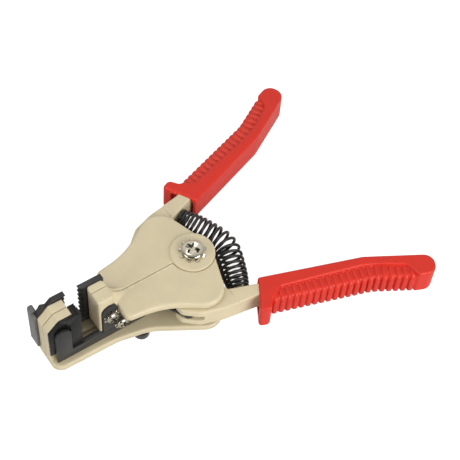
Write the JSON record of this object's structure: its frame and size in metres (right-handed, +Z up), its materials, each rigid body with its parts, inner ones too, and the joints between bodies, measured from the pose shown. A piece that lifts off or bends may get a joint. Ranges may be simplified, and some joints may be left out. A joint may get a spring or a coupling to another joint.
{
  "type": "automatic_wire_stripper",
  "caption": "Automatic wire stripper with a gripping half and a cutting half on one pivot, sliding noses, ribbed red grips and an arc spring between the handles",
  "frame": {"origin": "on the pivot axis, in the plane of the underside of the lower frames", "axes": "+X along the tool to the nose, +Y to the gripper half, +Z up along the pivot to the bolt head"},
  "size_m": [0.1611, 0.124, 0.0348],
  "materials": {
    "cream_paint": "satin enamel on a die casting",
    "black_steel": "blackened steel",
    "spring_steel": "oiled black wire",
    "nickel": "nickel plated",
    "red_plastic": "smooth moulded",
    "black_plastic": "glossy black"
  },
  "bodies": {
    "pivot": {"pivot_bolt": "nickel", "pivot_star_washer": "nickel", "pivot_sleeve_nut": "nickel", "main_spring": "spring_steel", "closing_spring": "spring_steel"},
    "gripper_half": {"gripper_cover": "cream_paint", "gripper_rail": "black_steel", "gripper_rail_screws": "nickel", "gripper_rail_washers": "nickel"},
    "cutter_half": {"cutter_cover": "cream_paint", "cutter_rail": "black_steel", "cutter_rail_screw": "nickel", "cutter_rail_washer": "nickel", "cutter_jaw_blade": "black_steel", "cutter_blade_screws": "nickel"},
    "gripper_slide": {"gripper_frame": "cream_paint", "gripper_nose_pad": "black_steel", "gripper_drive_plate": "black_steel", "gripper_drive_stud": "black_steel", "gripper_rest_knob": "black_plastic"},
    "cutter_slide": {"cutter_frame": "cream_paint", "cutter_nose_blade": "black_steel", "nose_blade_screws": "nickel", "wire_stop": "black_plastic", "cutter_drive_plate": "black_steel", "cutter_drive_stud": "black_steel", "cutter_rest_knob": "black_plastic"},
    "gripper_handle": {"gripper_handle_arm": "cream_paint", "gripper_drive_pin": "nickel", "gripper_grip": "red_plastic"},
    "cutter_handle": {"cutter_handle_arm": "cream_paint", "cutter_drive_pin": "nickel", "cutter_grip": "red_plastic"}
  },
  "joints": [
    {"name": "gripper_half_spread", "type": "hinge", "parent": "pivot", "child": "gripper_half", "pos_m": [0, 0, 0], "axis": [0, 0, 1], "range_deg": [0, 8], "stiffness_Nm_per_rad": 0.2, "springref_deg": -17.19, "deforming": ["closing_spring"]},
    {"name": "cutter_half_spread", "type": "hinge", "parent": "pivot", "child": "cutter_half", "pos_m": [0, 0, 0], "axis": [0, 0, 1], "range_deg": [-8, 0], "stiffness_Nm_per_rad": 0.2, "springref_deg": 17.19},
    {"name": "gripper_handle_squeeze", "type": "hinge", "parent": "gripper_half", "child": "gripper_handle", "pos_m": [0, 0, 0], "axis": [0, 0, 1], "range_deg": [0, 17], "stiffness_Nm_per_rad": 0.3, "springref_deg": -17.19, "deforming": ["main_spring"]},
    {"name": "cutter_handle_squeeze", "type": "hinge", "parent": "cutter_half", "child": "cutter_handle", "pos_m": [0, 0, 0], "axis": [0, 0, 1], "range_deg": [-17, 0], "stiffness_Nm_per_rad": 0.3, "springref_deg": 17.19, "deforming": ["main_spring"]},
    {"name": "gripper_jaw_close", "type": "slide", "parent": "gripper_half", "child": "gripper_slide", "axis": [-1, 0, 0], "range_m": [0, 0.007]},
    {"name": "cutter_jaw_close", "type": "slide", "parent": "cutter_half", "child": "cutter_slide", "axis": [-1, 0, 0], "range_m": [0, 0.0059]}
  ],
  "couplings": [
    {"joint": "cutter_half_spread", "follows": "gripper_half_spread", "ratio": -1},
    {"joint": "gripper_jaw_close", "follows": "gripper_handle_squeeze", "m_per_rad": 0.02359},
    {"joint": "cutter_jaw_close", "follows": "cutter_handle_squeeze", "m_per_rad": -0.01988}
  ]
}
